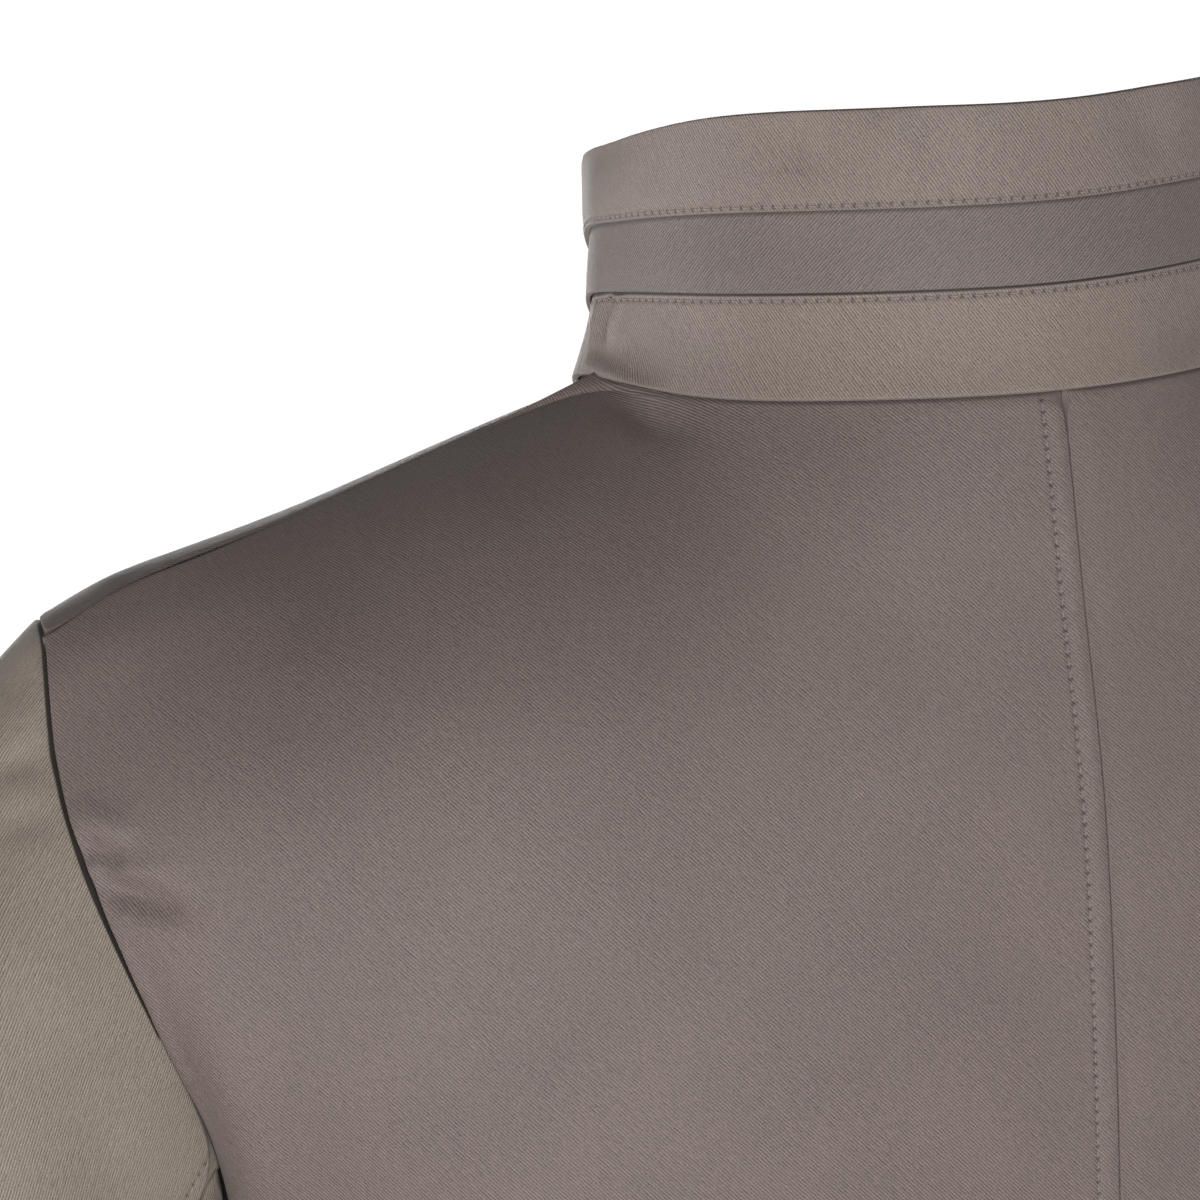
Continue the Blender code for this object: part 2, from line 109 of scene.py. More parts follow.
def area_light(name, place, size, watts, colour=(1, 1, 1)):
    """A soft square light that faces the middle of what the camera sees."""
    bpy.ops.object.light_add(type="AREA", location=place)
    light = bpy.context.object
    light.name = name
    light.data.size = size
    light.data.energy = watts
    light.data.color = colour
    light.rotation_euler = (Vector(place) - AIM).to_track_quat("Z", "Y").to_euler()
    return light


area_light("key_light", (0.92, 2.34, -0.25), 1.3, 44.5, (1.0, 0.985, 0.965))
area_light("side_light", (1.60, -0.80, -0.50), 1.0, 19, (1.0, 0.985, 0.965))
area_light("fill_light", (-1.80, 1.70, -0.40), 1.5, 2, (0.97, 0.98, 1.0))
area_light("front_light", (-0.90, -2.30, -0.45), 1.5, 36)
print("area lights:", sum(light.type == "AREA" for light in bpy.data.lights))


def white_to_the_camera(tree, kind, glow):
    """A shader that the camera sees as white, and that lights the rest with its glow."""
    path = tree.nodes.new("ShaderNodeLightPath")
    seen, lit = tree.nodes.new(kind), tree.nodes.new(kind)
    seen.inputs["Color"].default_value = lit.inputs["Color"].default_value = (1, 1, 1, 1)
    seen.inputs["Strength"].default_value, lit.inputs["Strength"].default_value = WHITE_SEEN, glow
    choose = tree.nodes.new("ShaderNodeMixShader")
    tree.links.new(path.outputs["Is Camera Ray"], choose.inputs["Fac"])
    tree.links.new(lit.outputs[0], choose.inputs[1])
    tree.links.new(seen.outputs[0], choose.inputs[2])
    return choose.outputs[0]


world = bpy.data.worlds.new("studio")
bpy.context.scene.world = world
world.use_nodes = True
tree = world.node_tree
sky = white_to_the_camera(tree, "ShaderNodeBackground", SKY_GLOW)
tree.links.new(sky, tree.nodes["World Output"].inputs["Surface"])

bpy.ops.mesh.primitive_plane_add(size=FLOOR_SIZE, location=(0, 0, FLOOR_HEIGHT))
floor = bpy.context.object
floor.name = "studio_floor"
floor_paint = bpy.data.materials.new("studio_white")
floor_paint.use_nodes = True
tree = floor_paint.node_tree
sweep = white_to_the_camera(tree, "ShaderNodeEmission", FLOOR_GLOW)
tree.links.new(sweep, tree.nodes["Material Output"].inputs["Surface"])
floor.data.materials.append(floor_paint)
bpy.context.scene.view_settings.view_transform = "Standard"

# %% [markdown]
# ## From a solid to a sheet
#
# The solids are closed, but what shows of a jacket is the outside of its cloth, and creases and seams are far
# easier to shape on one open sheet. So the outer face of each solid is taken off: a selection starts at the
# face that looks furthest its way and spreads to all that join it without a sharp edge.

# %% Take the outer sheet off a solid
WELD, SHORT_EDGE, COLLAR_SHORT_EDGE = 0.005 * MM, 1.7 * MM, 0.3 * MM
RIM_FACE_AREA, LOOKS_THAT_WAY = 25 * MM * MM, 0.8
SAME_FACE, NEARLY_FLAT = math.radians(40), math.radians(62)


def points_of(piece):
    places = np.zeros(len(piece.data.vertices) * 3)
    piece.data.vertices.foreach_get("co", places)
    return places.reshape(-1, 3)


def move_points(piece, places):
    piece.data.vertices.foreach_set("co", places.ravel())
    piece.data.update()


def normals_of(piece):
    normals = np.zeros(len(piece.data.vertices) * 3, np.float32)
    piece.data.vertex_normals.foreach_get("vector", normals)
    return normals.reshape(-1, 3).astype(float)


def unit(ways):
    return ways / (np.linalg.norm(ways, axis=1, keepdims=True) + 1e-12)


def only(*pieces):
    """Selects these objects and nothing else."""
    if bpy.context.mode != "OBJECT":
        bpy.ops.object.mode_set(mode="OBJECT")
    bpy.ops.object.select_all(action="DESELECT")
    for piece in pieces:
        piece.select_set(True)
    bpy.context.view_layer.objects.active = pieces[0]


def outer_sheet(node, facing):
    """A new object with the outer face of a CAD solid, found from its face that lies furthest that way."""
    piece = bpy.data.objects.new(node + "_cloth", frame["nodes"][node].data.copy())
    bpy.context.scene.collection.objects.link(piece)
    piece.data.materials.clear()
    only(piece)
    bpy.ops.object.mode_set(mode="EDIT")
    bpy.ops.mesh.select_all(action="SELECT")
    bpy.ops.mesh.remove_doubles(threshold=WELD)
    bpy.ops.mesh.select_all(action="DESELECT")
    bpy.ops.object.mode_set(mode="OBJECT")
    way = Vector(facing)
    broad = [face for face in piece.data.polygons if face.area > RIM_FACE_AREA]
    broad = [face for face in broad if face.normal.dot(way) > LOOKS_THAT_WAY]
    seed = max(broad, key=lambda face: face.center.dot(way))
    seed.select = True
    bpy.ops.object.mode_set(mode="EDIT")
    bpy.ops.mesh.select_mode(type="FACE")
    bpy.ops.mesh.faces_select_linked_flat(sharpness=SAME_FACE)
    bpy.ops.mesh.select_more()
    bpy.ops.mesh.select_less()
    bpy.ops.mesh.select_all(action="INVERT")
    bpy.ops.mesh.delete(type="FACE")
    bpy.ops.mesh.select_all(action="SELECT")
    bpy.ops.mesh.remove_doubles(threshold=COLLAR_SHORT_EDGE if node.startswith("collar") else SHORT_EDGE)
    bpy.ops.mesh.tris_convert_to_quads(face_threshold=NEARLY_FLAT, shape_threshold=NEARLY_FLAT)
    bpy.ops.object.mode_set(mode="OBJECT")
    return piece


# %% [markdown]
# ## Turned-in borders
#
# A sewn edge is turned under, so its outer face rounds off and drops away into the seam. Two narrow insets
# follow the sheet's border, and the border itself is pushed in, so that subdivision makes a small round
# shoulder there. Beside its neighbour it reads as a seam. The body's neck edge goes up inside the collar,
# the back's shoulder edge lies over the front's, and the sleeve goes in under the armhole.

# %% Follow a border
CORNER_TURN = math.radians(45)


def corners_of_faces(mesh):
    """For every corner of every face: its point, the corner that follows it round the face, and its edge."""
    points, edges = np.zeros(len(mesh.loops), int), np.zeros(len(mesh.loops), int)
    mesh.loops.foreach_get("vertex_index", points)
    mesh.loops.foreach_get("edge_index", edges)
    following = np.arange(len(points)) + 1
    for face in mesh.polygons:
        following[face.loop_start + face.loop_total - 1] = face.loop_start
    return points, following, edges


def border_loop(piece):
    """The border's point numbers in order, with the cloth on the left, and for each a neighbour inside."""
    points, following, edges = corners_of_faces(piece.data)
    on_border = np.bincount(edges)[edges] == 1
    starts, ends = points, points[following]
    onward = dict(zip(starts[on_border].tolist(), ends[on_border].tolist()))
    inner = {}
    for a, b in zip(starts[~on_border].tolist(), ends[~on_border].tolist()):
        if a in onward and b not in onward:
            inner[a] = b
        if b in onward and a not in onward:
            inner[b] = a
    walk = [min(onward)]
    while len(walk) < len(onward):
        walk.append(onward[walk[-1]])
    return walk, [inner.get(point, point) for point in walk]


def turns_of(line):
    """How sharply a closed line turns at each of its points, in radians."""
    before, after = line - np.roll(line, 1, axis=0), np.roll(line, -1, axis=0) - line
    return np.arccos(np.clip((unit(before) * unit(after)).sum(1), -1, 1))


def between_corners(line):
    """A closed line's runs of point numbers, from each sharp corner to the next."""
    corners = np.flatnonzero(turns_of(line) > CORNER_TURN).tolist()
    ends = corners[1:] + [corners[0] + len(line)]
    return [[k % len(line) for k in range(start, end + 1)] for start, end in zip(corners, ends)]


# %% Turn a border in
TURN_RING, SHOULDER_RING = 0.10 * MM, 0.32 * MM
NECK_REACH, NECK_TUCK_IN, NECK_TUCK_UP = 80 * MM, 1.6 * MM, 3.2 * MM
LOWEST_ARMHOLE, ARMHOLE_TUCK, ARMHOLE_DROP = -230 * MM, 1.6 * MM, 1.6 * MM
LOWEST_SHOULDER, SHOULDER_SPREAD = -60 * MM, 0.55 * MM
SHOULDER_OVER, SHOULDER_UNDER = 0.15 * MM, 0.6 * MM


def stretch_map(piece, walk, inner, lengths):
    """Moves the map's border outwards by what each point of the sheet's border is about to move."""
    points, _, _ = corners_of_faces(piece.data)
    flat = piece.data.uv_layers.active
    uv = np.zeros(len(points) * 2)
    flat.data.foreach_get("uv", uv)
    on_point = np.zeros((len(piece.data.vertices), 2))
    on_point[points] = uv.reshape(-1, 2)
    on_point[walk] += unit(on_point[walk] - on_point[inner]) * lengths[:, None]
    flat.data.foreach_set("uv", on_point[points].ravel())


def turn_border_in(piece, depth, spread):
    """Two rings beside the border, whose outermost line then goes into the seam or under its neighbour."""
    only(piece)
    bpy.ops.object.mode_set(mode="EDIT")
    bpy.ops.mesh.select_all(action="SELECT")
    bpy.ops.mesh.inset(thickness=TURN_RING, use_boundary=True)
    bpy.ops.mesh.inset(thickness=SHOULDER_RING, use_boundary=True)
    bpy.ops.object.mode_set(mode="OBJECT")
    walk, inner = border_loop(piece)
    places, line, normals = points_of(piece), points_of(piece)[walk], normals_of(piece)[walk]
    sharp = np.zeros(len(places), np.float32)
    sharp[walk] = turns_of(line) > CORNER_TURN
    piece.data.attributes.new("crease_vert", "FLOAT", "POINT").data.foreach_set("value", sharp)
    outwards = unit(line - places[inner])
    turned = line + spread * outwards - depth * normals
    on_body = piece.name.startswith(("back", "front"))
    for run in sorted(between_corners(line), key=lambda run: -np.hypot(*line[run].mean(axis=0)[:2])):
        middle = line[run].mean(axis=0)
        if on_body and math.hypot(middle[0], middle[1]) < NECK_REACH:
            turned[run] = line[run] - NECK_TUCK_IN * unit(line[run] * (1, 1, 0)) + (0, 0, NECK_TUCK_UP)
        elif on_body and middle[2] > LOWEST_SHOULDER:
            drop = SHOULDER_OVER if piece.name.startswith("back") else SHOULDER_UNDER
            turned[run] = line[run] + SHOULDER_SPREAD * outwards[run] - drop * normals[run]
        elif piece.name.startswith("sleeve") and middle[2] > LOWEST_ARMHOLE:
            turned[run] = line[run] + ARMHOLE_TUCK * outwards[run] - ARMHOLE_DROP * normals[run]
    stretch_map(piece, walk, inner, np.linalg.norm(turned - line, axis=1))
    places[walk] = turned
    move_points(piece, places)


# %% [markdown]
# ## The grain of the cloth
#
# A twill's fine diagonal lines run at one angle to the threads, whatever way the cloth bends. So the weave
# cannot come from the object's own axes. Each sheet is unwrapped while it is still coarse, and its map is
# then turned and scaled until its V axis follows the lengthwise threads and one unit is one metre of cloth.
# The flat sheet is also the pattern piece that a cutter would lay out, so its size is printed.

# %% Lay the grain
def lay_grain(piece, grain):
    """Unwraps the sheet and turns its map so that V follows this direction on the cloth, in metres."""
    only(piece)
    bpy.ops.object.mode_set(mode="EDIT")
    bpy.ops.mesh.select_all(action="SELECT")
    bpy.ops.uv.unwrap(method="CONFORMAL", margin=0)
    bpy.ops.object.mode_set(mode="OBJECT")
    mesh = piece.data
    flat = mesh.uv_layers.active
    flat.name = "grain"
    uv = np.zeros(len(mesh.loops) * 2)
    flat.data.foreach_get("uv", uv)
    uv = uv.reshape(-1, 2)
    turned_uv = uv[:, 0] + 1j * uv[:, 1]
    points, following, _ = corners_of_faces(mesh)
    places = points_of(piece)[points]
    step = places[following] - places
    flat_step = turned_uv[following] - turned_uv
    length = np.linalg.norm(step, axis=1)
    scale = length.sum() / np.abs(flat_step).sum()
    lengthwise = step @ np.array(grain, float)
    v_axis = (lengthwise * flat_step).sum()
    turned_uv = turned_uv * scale * 1j * abs(v_axis) / v_axis
    turned_uv -= turned_uv.real.min() + 1j * turned_uv.imag.min()
    flat.data.foreach_set("uv", np.column_stack([turned_uv.real, turned_uv.imag]).ravel())
    print(piece.name, "cut about", [round(size, 3) for size in (turned_uv.real.max(), turned_uv.imag.max())])


def refine(piece, times):
    """Rounds the sheet with a Subdivision Surface that keeps its corners, and applies it."""
    only(piece)
    softer = piece.modifiers.new("softer", "SUBSURF")
    softer.levels = softer.render_levels = times
    softer.boundary_smooth = "PRESERVE_CORNERS"
    bpy.ops.object.modifier_apply(modifier=softer.name)


# %% [markdown]
# ## Creases
#
# Cloth that fits well has few creases, and each is a soft trough or ridge that fades out at its ends. A table
# gives each one's path over the cloth, its depth and how wide it is. The helper measures how far every point
# of the sheet is from that path and moves it along its normal, most in the middle of the path. A simulation
# makes folds of its own, and these few have known places, so they are listed one by one.

# %% Press creases into a sheet
BLEND_REACH, BLENDED_POINTS, SMALLEST_PUSH = 4 * MM, 8, 0.004 * MM
END_SHARE, FADE_POWER, ROW_STEP = 0.04, 0.8, 8
plain_ways = {}


def remember_ways(piece):
    """Keeps the normals of a sheet that isn't turned in yet, in a search tree."""
    near = KDTree(len(piece.data.vertices))
    for number, place in enumerate(points_of(piece)):
        near.insert(place, number)
    near.balance()
    plain_ways[piece.name] = near, normals_of(piece)


def distance_to_path(places, path):
    """For each place, its distance to the line through these points, and how far along it lies, 0 to 1."""
    path = np.array(path, float)
    lengths = np.linalg.norm(np.diff(path, axis=0), axis=1)
    starts = np.concatenate([[0], np.cumsum(lengths)])
    nearest = np.full(len(places), np.inf)
    along = np.zeros(len(places))
    for a, b, length, start in zip(path[:-1], path[1:], lengths, starts):
        t = np.clip((places - a) @ (b - a) / length**2, 0, 1)
        away = np.linalg.norm(places - (a + t[:, None] * (b - a)), axis=1)
        closer = away < nearest
        nearest[closer] = away[closer]
        along[closer] = (start + t * length)[closer] / starts[-1]
    return nearest, along


def surface_of(piece):
    """A search tree of the sheet's faces."""
    faces = [tuple(face.vertices) for face in piece.data.polygons]
    return BVHTree.FromPolygons([tuple(place) for place in points_of(piece)], faces)


def push(piece, moved):
    """Moves each point this far out along the plain sheet's normals, which a turned-in edge would upset."""
    places = points_of(piece)
    near, ways = plain_ways[piece.name]
    for k in np.flatnonzero(np.abs(moved) > SMALLEST_PUSH):
        found = near.find_n(places[k], BLENDED_POINTS)
        weights = np.array([1 / (gap**2 + BLEND_REACH**2) ** 2 for _, _, gap in found])
        places[k] += moved[k] * unit(weights[None] @ ways[[index for _, index, _ in found]])[0]
    move_points(piece, places)


def press_creases(piece, creases):
    """Moves the cloth in along troughs, and out along ridges, whose depth is negative. In millimetres."""
    places, surface = points_of(piece), surface_of(piece)
    moved = np.zeros(len(places))
    for depth, width, *path in creases:
        on_cloth = [surface.find_nearest(Vector(point) * MM)[0] for point in path]
        away, along = distance_to_path(places, on_cloth)
        fade = np.sin(np.pi * np.clip(along, END_SHARE, 1 - END_SHARE)) ** FADE_POWER
        moved -= depth * MM * fade * np.exp(-((away / (width * MM)) ** 2))
    push(piece, moved)


def raise_strip(piece, row, height, width):
    """Lifts the cloth evenly along a row, or lowers it where the height is negative."""
    away, _ = distance_to_path(points_of(piece), row["row"][::ROW_STEP])
    push(piece, height * np.exp(-((away / width) ** 2)))


# %% [markdown]
# ## Seam lines
#
# Stitches run beside a seam at an even distance. The border of a sheet is one closed line, and its sharp
# corners part it into sides. A side is picked by its place, moved onto the cloth by the stitch distance, and
# kept as a row of points, each with the direction of sewing and the way in from the edge.

# %% Find the sides of a sheet
def soften(line, times=3):
    """Doubles a line's points as a Subdivision Surface does along a border, and keeps the ends."""
    for _ in range(times):
        finer = np.zeros((2 * len(line) - 1, 3))
        finer[::2], finer[1::2] = line, (line[:-1] + line[1:]) / 2
        finer[2:-2:2] = (line[:-2] + 6 * line[1:-1] + line[2:]) / 8
        line = finer
    return line


def sides_of(piece):
    """The sides of a sheet not turned in yet: each a line with the cloth on its left, and its way out."""
    walk, _ = border_loop(piece)
    line, out = points_of(piece)[walk], normals_of(piece)[walk]
    return [(soften(line[run]), unit(soften(out[run]))) for run in between_corners(line)]


def pick_side(node, rank, shortest=0.1):
    """Of the piece's sides at least this long, the one whose mean place ranks highest."""
    lengths = [np.linalg.norm(np.diff(line, axis=0), axis=1).sum() for line, _ in edges[node]]
    long_enough = [side for side, length in zip(edges[node], lengths) if length > shortest]
    return max(long_enough, key=lambda side: rank(side[0].mean(axis=0)))


def sewing_row(cloth, side, distance):
    """A row on the cloth at this distance in from a side, or out from it if the distance is negative."""
    line, out = side
    level = unit(np.cross(out, np.gradient(line, axis=0)))
    surface = surface_of(cloth)
    found = [surface.find_nearest(Vector(place))[:2] for place in line + distance * level]
    return evenly(np.array([place for place, _ in found]), np.array([normal for _, normal in found]))


def evenly(row, out, spacing=0.5 * MM):
    """The row again with its points this far apart and its bends smoothed."""
    for _ in range(3):
        row[1:-1] = (row[:-2] + 2 * row[1:-1] + row[2:]) / 4
    walked = np.concatenate([[0], np.cumsum(np.linalg.norm(np.diff(row, axis=0), axis=1))])
    at = np.arange(0, walked[-1], spacing)
    row = np.column_stack([np.interp(at, walked, row[:, axis]) for axis in range(3)])
    out = np.column_stack([np.interp(at, walked, out[:, axis]) for axis in range(3)])
    along = np.gradient(row, axis=0)
    along /= np.linalg.norm(along, axis=1, keepdims=True)
    out -= (out * along).sum(1, keepdims=True) * along
    out /= np.linalg.norm(out, axis=1, keepdims=True)
    return {"at": at, "row": row, "along": along, "out": out, "in": np.cross(out, along)}


# %% [markdown]
# ## Stitches
#
# A lockstitch shows as a short thread that dives into the cloth at both ends, and each dive pulls a dimple.
# The thread is one small rounded bar, modelled once and copied down each row, so that it catches the light
# by itself. The dimples are far smaller than the sheet's faces. So each point of the sheet keeps its gap to
# the nearest row, and how far across and along that row it lies, and the material draws them from these,
# as a bump with painted shade in it.

# %% Model one stitch
STITCH_PITCH, STITCH_LENGTH, STITCH_WIDTH, STITCH_HEIGHT = 2.5 * MM, 1.8 * MM, 0.42 * MM, 0.22 * MM
STITCH_BLUNTNESS, STITCH_DROOP = 0.7, 0.10 * MM

bpy.ops.object.select_all(action="DESELECT")
bpy.ops.mesh.primitive_uv_sphere_add(segments=8, ring_count=6, radius=0.5)
stitch = bpy.context.object
bpy.ops.transform.resize(value=(STITCH_LENGTH, STITCH_WIDTH, STITCH_HEIGHT))
bpy.ops.object.transform_apply(location=False, rotation=False, scale=True)
stitch_points = points_of(stitch)
to_its_end = stitch_points[:, 0] / STITCH_LENGTH * 2
stitch_points[:, 0] = np.sign(to_its_end) * STITCH_LENGTH / 2 * np.abs(to_its_end) ** STITCH_BLUNTNESS
stitch_points[:, 2] -= STITCH_DROOP * (2 * stitch_points[:, 0] / STITCH_LENGTH) ** 2
stitch_faces = [tuple(face.vertices) for face in stitch.data.polygons]
bpy.data.objects.remove(stitch)
print("one stitch:", len(stitch_points), "points,", len(stitch_faces), "faces")


# %% Sew a row
THREAD_LIFT, THREAD_LEAN, THREAD_WANDER = 0.07 * MM, 0.05, 0.02 * MM


def sew(name, rows):
    """One joined mesh with a stitch at every pitch of every row, unevenly laid as a machine's thread is."""
    chance = np.random.default_rng(len(name))
    points, faces = [], []
    for row in rows:
        reach = row["at"][-1]
        for start in np.arange(STITCH_PITCH / 2, reach, STITCH_PITCH):
            k = min(int(round(start / reach * (len(row["at"]) - 1))), len(row["at"]) - 1)
            along, out, way_in = row["along"][k], row["out"][k], row["in"][k]
            lean = chance.normal(0, THREAD_LEAN)
            along, way_in = along + lean * way_in, way_in - lean * along
            middle = row["row"][k] + out * THREAD_LIFT + way_in * chance.normal(0, THREAD_WANDER)
            axes = np.array([along, way_in, out])
            first = len(points) * len(stitch_points)
            faces += [tuple(first + corner for corner in face) for face in stitch_faces]
            points.append(middle + stitch_points @ axes)
    mesh = bpy.data.meshes.new(name)
    mesh.from_pydata(np.vstack(points).tolist(), [], faces)
    mesh.shade_smooth()
    thread = bpy.data.objects.new(name, mesh)
    bpy.context.scene.collection.objects.link(thread)
    print(name, "stitches:", len(points))
    return thread


# %% Keep the rows on the cloth
FAR_AWAY = 6 * MM


def remember_rows(piece, kind, rows):
    """Keeps on each point its gap to the nearest of these rows, and how far across and along it lies."""
    places = points_of(piece)
    kept = {name: np.full(len(places), FAR_AWAY) for name in ("gap", "across", "along")}
    if rows:
        near = KDTree(sum(len(row["row"]) for row in rows))
        joined = {key: np.concatenate([row[key] for row in rows]) for key in rows[0]}
        for k, place in enumerate(joined["row"]):
            near.insert(place, k)
        near.balance()
        found = [near.find(place) for place in places]
        nearest = np.array([index for _, index, _ in found])
        away = places - joined["row"][nearest]
        kept["gap"] = np.minimum([gap for _, _, gap in found], FAR_AWAY)
        kept["across"] = np.clip((away * joined["in"][nearest]).sum(1), -FAR_AWAY, FAR_AWAY)
        kept["along"] = joined["at"][nearest] + (away * joined["along"][nearest]).sum(1)
    for name, values in kept.items():
        layer = piece.data.attributes.new(f"{kind}_{name}", "FLOAT", "POINT")
        layer.data.foreach_set("value", values.astype(np.float32))


# %% [markdown]
# ## A wall for the cloth
#
# The open sheet has no thickness, and its inside shows through the neck, hem and cuffs. Solidify adds an
# inner face and closes the rim, on the inner side, so the outer form stays where it was.

# %% Give the sheet its thickness
def give_wall(piece, thickness):
    only(piece)
    wall = piece.modifiers.new("wall", "SOLIDIFY")
    wall.thickness = thickness
    wall.offset = -1
    bpy.ops.object.modifier_apply(modifier=wall.name)
    piece.data.shade_smooth()


# %% [markdown]
# ## Satin twill
#
# The cloth is a twill with long smooth floats, so it has fine diagonal lines 0.6 mm apart and a soft sheen.
# The lines come from a sine across the grain map, broken up by noise stretched along them, because no thread
# is even. They will tint the colour a little and raise a very small bump. Helpers keep the wiring short.

# %% Wire up shader nodes
def add(tree, kind, **settings):
    node = tree.nodes.new(kind)
    for key, value in settings.items():
        setattr(node, key, value)
    return node


def maths(tree, operation, first, second=0.0, third=0.0, clamp=False):
    """A Math node fed with numbers or other nodes' outputs."""
    node = add(tree, "ShaderNodeMath", operation=operation, use_clamp=clamp)
    for socket, value in zip(node.inputs, (first, second, third)):
        if isinstance(value, (int, float)):
            socket.default_value = value
        else:
            tree.links.new(value, socket)
    return node.outputs[0]


def smooth_step(tree, value, low, high, at_low, at_high):
    node = add(tree, "ShaderNodeMapRange", interpolation_type="SMOOTHSTEP")
    tree.links.new(value, node.inputs["Value"])
    for key, number in zip(("From Min", "From Max", "To Min", "To Max"), (low, high, at_low, at_high)):
        node.inputs[key].default_value = number
    return node.outputs["Result"]


def noise(tree, vector, scale, detail=2.0):
    node = add(tree, "ShaderNodeTexNoise")
    node.inputs["Scale"].default_value = scale
    node.inputs["Detail"].default_value = detail
    tree.links.new(vector, node.inputs["Vector"])
    return node.outputs["Fac"]


# %% Draw the weave
TWILL_PITCH = 0.6 * MM
FLOAT_SCALE, SPECKLE_SCALE, FLOAT_BEND = (450, 1700, 1), 2600.0, 3.0
WAVE_SHARE, WAVE_MIDDLE, FLOAT_SHARE, SPECKLE_SHARE = 0.32, -0.20, 0.45, 0.95


def twill_lines(tree, angle):
    """The height of the weave from 0 to 1, with its lines at this angle to the cross threads."""
    grain = add(tree, "ShaderNodeUVMap", uv_map="grain").outputs["UV"]
    turn = add(tree, "ShaderNodeMapping")
    turn.inputs["Rotation"].default_value[2] = -math.radians(angle)
    tree.links.new(grain, turn.inputs["Vector"])
    stretch = add(tree, "ShaderNodeMapping")
    stretch.inputs["Scale"].default_value = FLOAT_SCALE
    tree.links.new(turn.outputs[0], stretch.inputs["Vector"])
    floats = noise(tree, stretch.outputs[0], 1.0)
    split = add(tree, "ShaderNodeSeparateXYZ")
    tree.links.new(turn.outputs[0], split.inputs[0])
    phase = maths(tree, "MULTIPLY_ADD", split.outputs["Y"], 2 * math.pi / TWILL_PITCH, 0.0)
    phase = maths(tree, "ADD", phase, maths(tree, "MULTIPLY", floats, FLOAT_BEND))
    speckle = noise(tree, turn.outputs[0], SPECKLE_SCALE, 1.0)
    wave = maths(tree, "MULTIPLY_ADD", maths(tree, "SINE", phase), WAVE_SHARE, WAVE_MIDDLE)
    weave = maths(tree, "MULTIPLY_ADD", floats, FLOAT_SHARE, wave)
    return maths(tree, "MULTIPLY_ADD", speckle, SPECKLE_SHARE, weave, clamp=True), grain


# %% [markdown]
# ## Sewing marks and painted shade
#
# A sewn row pulls a groove, with a dimple where the needle went in, and a lapped edge throws a narrow shade.
# The groove and the dimples are drawn as a bump, and the shade in the dimples and under the edge is painted
# into the colour, both from the numbers that the cloth keeps. Halfway between two rows those numbers jump
# from one row to the other, so the gap fades the marks out well before that.

# %% Draw the sewing and the painted shade under lapped edges
MARKS_FADE, MARKS_GONE = 3.5 * MM, 5.5 * MM
GROOVE_REACH, HOLE_FULL, HOLE_REACH, DIVE_START = 1.1 * MM, 0.15 * MM, 0.65 * MM, 0.60


def kept_on_cloth(tree, kind):
    """How far across and along a row of this kind the cloth lies, and a factor that is 1 only near one."""
    gap, across, along = (
        add(tree, "ShaderNodeAttribute", attribute_name=f"{kind}_{name}").outputs["Fac"]
        for name in ("gap", "across", "along")
    )
    return across, along, smooth_step(tree, gap, MARKS_FADE, MARKS_GONE, 1.0, 0.0)


def sewn_marks(tree):
    """The groove of a sewn row, and its needle holes, from the distances kept on the cloth."""
    across, along, close = kept_on_cloth(tree, "row")
    away = maths(tree, "ABSOLUTE", across)
    groove = maths(tree, "MULTIPLY", close, smooth_step(tree, away, 0.0, GROOVE_REACH, 1.0, 0.0))
    turn = maths(tree, "MULTIPLY", along, 2 * math.pi / STITCH_PITCH)
    dive = maths(tree, "MULTIPLY_ADD", maths(tree, "COSINE", turn), 0.5, 0.5)
    dive = maths(tree, "MULTIPLY", close, smooth_step(tree, dive, DIVE_START, 1.0, 0.0, 1.0))
    hole = maths(tree, "MULTIPLY", dive, smooth_step(tree, away, HOLE_FULL, HOLE_REACH, 1.0, 0.0))
    return groove, hole


def edge_shade(tree, reach, full, strength):
    """The shade under an edge that lies on the cloth: full this close to the edge, and gone at its reach."""
    across, _, close = kept_on_cloth(tree, "edge")
    return maths(tree, "MULTIPLY", close, smooth_step(tree, across, -reach * MM, -full * MM, 0.0, strength))


# %% [markdown]
# ## The finished cloth
#
# The jacket is all one cloth, but its parts are seen in slightly different tones as light and the satin's
# sheen fall on each, so each gets a tone of its own: painted light. Broad faint patches vary the tone
# further, as a steamed and handled cloth does. Painted shade, in the needle holes and under lapped edges, is
# mixed in as a much darker tone of the same colour, and the grooves are added to the weave's bump.

# %% Build the twill material
LIGHT_TINT, DARK_TINT = (1.56, 1.56, 1.51), (0.46, 0.45, 0.49)
# Painted shade: HOLE_SHADE is how dark the needle holes are painted, and SHADED_TONE is the share of the
# colour left in them and under lapped edges.
PATCH_SCALE, PATCH_SHARE, HOLE_SHADE, SHADED_TONE = 28.0, 0.25, 0.55, 0.12
WEAVE_RELIEF, SEWN_RELIEF, HOLE_DEPTH = 0.10 * MM, 0.25 * MM, 0.6


